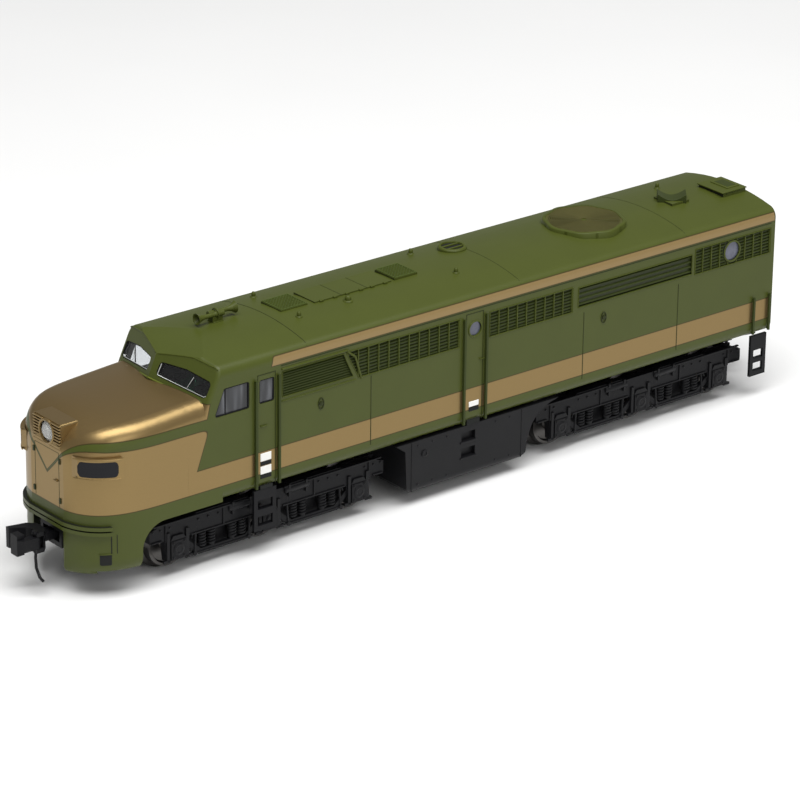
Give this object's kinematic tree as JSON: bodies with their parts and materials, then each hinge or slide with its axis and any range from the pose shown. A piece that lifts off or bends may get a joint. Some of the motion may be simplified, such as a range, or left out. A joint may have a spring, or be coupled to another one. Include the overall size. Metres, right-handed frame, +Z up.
{
  "type": "model diesel locomotive",
  "caption": "Streamlined cab diesel railway model with a rounded nose, worm-driven six-wheel trucks that swivel, a motor with flywheels, and swinging knuckle couplers.",
  "frame": {"origin": "middle of the length over the couplers, on the centre line, at the bottom of the wheel flanges", "axes": "+X towards the nose, +Y towards the locomotive's left side, +Z up"},
  "size_m": [0.1276, 0.0206, 0.0309],
  "materials": {
    "shell": "satin olive green with bronze-gold bands",
    "glazing": "clear dark tinted",
    "headlight": "clear lens",
    "clear_plastic": "clear acrylic",
    "number_board": "gold rim, black face",
    "roof_green": "satin olive green",
    "underframe_black": "satin black",
    "truck_black": "moulded black",
    "coupler_black": "moulded black",
    "cast_frame": "blackened zinc casting",
    "steel": "plated steel",
    "magnet": "ferrite",
    "motor_plastic": "natural nylon",
    "carbon": "carbon brush",
    "winding": "laminations and enamelled wire",
    "brass_parts": "turned brass",
    "circuit": "green laminate",
    "led": "clear epoxy",
    "gear_plastic": "natural acetal",
    "pickup_bronze": "phosphor bronze",
    "wheel_metal": "blackened nickel plate"
  },
  "bodies": {
    "chassis": {"air_horn": "roof_green", "body_shell": "shell", "cab_steps": "underframe_black", "circuit_board": "circuit", "coupler_boxes": "underframe_black", "frame_left": "cast_frame", "frame_right": "cast_frame", "frame_screws": "steel", "fuel_tank_cover": "underframe_black", "grab_rails": "roof_green", "headlight_led": "led", "headlight_lens": "headlight", "light_guide": "clear_plastic", "motor_brushes": "carbon", "motor_case": "steel", "motor_end_caps": "motor_plastic", "motor_magnets": "magnet", "number_boards": "number_board", "rear_steps": "underframe_black", "roof_fan": "roof_green", "side_glazing": "glazing", "windshield_glazing": "glazing", "worm_bearings": "brass_parts"},
    "rotor": {"motor_shaft": "steel", "motor_armature": "winding", "flywheels": "brass_parts", "drive_couplings": "gear_plastic", "worms": "brass_parts"},
    "front_truck": {"front_truck_side_frames": "truck_black", "front_gear_housing": "truck_black", "front_bottom_cover": "truck_black", "front_gear_pins": "steel", "front_pickup_strips": "pickup_bronze"},
    "front_worm_gear": {"front_worm_wheel": "gear_plastic"},
    "front_leading_idler_gear": {"front_leading_idler": "gear_plastic"},
    "front_leading_wheelset": {"front_leading_axle": "gear_plastic", "front_leading_wheels": "wheel_metal"},
    "front_trailing_idler_gear": {"front_trailing_idler": "gear_plastic"},
    "front_trailing_wheelset": {"front_trailing_axle": "gear_plastic", "front_trailing_wheels": "wheel_metal"},
    "front_centre_wheelset": {"front_centre_axle": "gear_plastic", "front_centre_wheels": "wheel_metal"},
    "rear_truck": {"rear_truck_side_frames": "truck_black", "rear_gear_housing": "truck_black", "rear_bottom_cover": "truck_black", "rear_gear_pins": "steel", "rear_pickup_strips": "pickup_bronze"},
    "rear_worm_gear": {"rear_worm_wheel": "gear_plastic"},
    "rear_leading_idler_gear": {"rear_leading_idler": "gear_plastic"},
    "rear_leading_wheelset": {"rear_leading_axle": "gear_plastic", "rear_leading_wheels": "wheel_metal"},
    "rear_trailing_idler_gear": {"rear_trailing_idler": "gear_plastic"},
    "rear_trailing_wheelset": {"rear_trailing_axle": "gear_plastic", "rear_trailing_wheels": "wheel_metal"},
    "rear_centre_wheelset": {"rear_centre_axle": "gear_plastic", "rear_centre_wheels": "wheel_metal"},
    "front_coupler": {"front_coupler_arm": "coupler_black"},
    "front_coupler_jaw": {"front_knuckle": "coupler_black"},
    "rear_coupler": {"rear_coupler_arm": "coupler_black"},
    "rear_coupler_jaw": {"rear_knuckle": "coupler_black"}
  },
  "joints": [
    {"name": "motor_spin", "type": "hinge", "parent": "chassis", "child": "rotor", "pos_m": [-0.0034, 0, 0.014], "axis": [1, 0, 0], "continuous": true},
    {"name": "front_truck_swivel", "type": "hinge", "parent": "chassis", "child": "front_truck", "pos_m": [0.029, 0, 0.0125], "axis": [0, 0, 1], "range_deg": [-8, 8]},
    {"name": "front_worm_gear_spin", "type": "hinge", "parent": "front_truck", "child": "front_worm_gear", "pos_m": [0.029, 0, 0.0088], "axis": [0, 1, 0], "continuous": true},
    {"name": "front_leading_idler_spin", "type": "hinge", "parent": "front_truck", "child": "front_leading_idler_gear", "pos_m": [0.03706, 0, 0.00644], "axis": [0, 1, 0], "continuous": true},
    {"name": "front_leading_wheelset_spin", "type": "hinge", "parent": "front_truck", "child": "front_leading_wheelset", "pos_m": [0.04375, 0, 0.00377], "axis": [0, 1, 0], "continuous": true},
    {"name": "front_trailing_idler_spin", "type": "hinge", "parent": "front_truck", "child": "front_trailing_idler_gear", "pos_m": [0.02094, 0, 0.00644], "axis": [0, 1, 0], "continuous": true},
    {"name": "front_trailing_wheelset_spin", "type": "hinge", "parent": "front_truck", "child": "front_trailing_wheelset", "pos_m": [0.01425, 0, 0.00377], "axis": [0, 1, 0], "continuous": true},
    {"name": "front_centre_wheelset_spin", "type": "hinge", "parent": "front_truck", "child": "front_centre_wheelset", "pos_m": [0.029, 0, 0.00377], "axis": [0, 1, 0], "continuous": true},
    {"name": "rear_truck_swivel", "type": "hinge", "parent": "chassis", "child": "rear_truck", "pos_m": [-0.036, 0, 0.0125], "axis": [0, 0, 1], "range_deg": [-8, 8]},
    {"name": "rear_worm_gear_spin", "type": "hinge", "parent": "rear_truck", "child": "rear_worm_gear", "pos_m": [-0.036, 0, 0.0088], "axis": [0, 1, 0], "continuous": true},
    {"name": "rear_leading_idler_spin", "type": "hinge", "parent": "rear_truck", "child": "rear_leading_idler_gear", "pos_m": [-0.02794, 0, 0.00644], "axis": [0, 1, 0], "continuous": true},
    {"name": "rear_leading_wheelset_spin", "type": "hinge", "parent": "rear_truck", "child": "rear_leading_wheelset", "pos_m": [-0.02125, 0, 0.00377], "axis": [0, 1, 0], "continuous": true},
    {"name": "rear_trailing_idler_spin", "type": "hinge", "parent": "rear_truck", "child": "rear_trailing_idler_gear", "pos_m": [-0.04406, 0, 0.00644], "axis": [0, 1, 0], "continuous": true},
    {"name": "rear_trailing_wheelset_spin", "type": "hinge", "parent": "rear_truck", "child": "rear_trailing_wheelset", "pos_m": [-0.05075, 0, 0.00377], "axis": [0, 1, 0], "continuous": true},
    {"name": "rear_centre_wheelset_spin", "type": "hinge", "parent": "rear_truck", "child": "rear_centre_wheelset", "pos_m": [-0.036, 0, 0.00377], "axis": [0, 1, 0], "continuous": true},
    {"name": "front_coupler_swing", "type": "hinge", "parent": "chassis", "child": "front_coupler", "pos_m": [0.0556, 0, 0.0071], "axis": [0, 0, 1], "range_deg": [-10, 10]},
    {"name": "front_knuckle_open", "type": "hinge", "parent": "front_coupler", "child": "front_coupler_jaw", "pos_m": [0.0611, 0.00115, 0.0071], "axis": [0, 0, 1], "range_deg": [0, 35]},
    {"name": "rear_coupler_swing", "type": "hinge", "parent": "chassis", "child": "rear_coupler", "pos_m": [-0.0572, 0, 0.0071], "axis": [0, 0, 1], "range_deg": [-10, 10]},
    {"name": "rear_knuckle_open", "type": "hinge", "parent": "rear_coupler", "child": "rear_coupler_jaw", "pos_m": [-0.0611, -0.00115, 0.0071], "axis": [0, 0, 1], "range_deg": [0, 35]}
  ],
  "couplings": [
    {"joint": "front_worm_gear_spin", "follows": "motor_spin", "ratio": -0.055556},
    {"joint": "front_leading_idler_spin", "follows": "motor_spin", "ratio": 0.041667},
    {"joint": "front_leading_wheelset_spin", "follows": "motor_spin", "ratio": -0.083333},
    {"joint": "front_trailing_idler_spin", "follows": "motor_spin", "ratio": 0.041667},
    {"joint": "front_trailing_wheelset_spin", "follows": "motor_spin", "ratio": -0.083333},
    {"joint": "rear_worm_gear_spin", "follows": "motor_spin", "ratio": -0.055556},
    {"joint": "rear_leading_idler_spin", "follows": "motor_spin", "ratio": 0.041667},
    {"joint": "rear_leading_wheelset_spin", "follows": "motor_spin", "ratio": -0.083333},
    {"joint": "rear_trailing_idler_spin", "follows": "motor_spin", "ratio": 0.041667},
    {"joint": "rear_trailing_wheelset_spin", "follows": "motor_spin", "ratio": -0.083333}
  ]
}
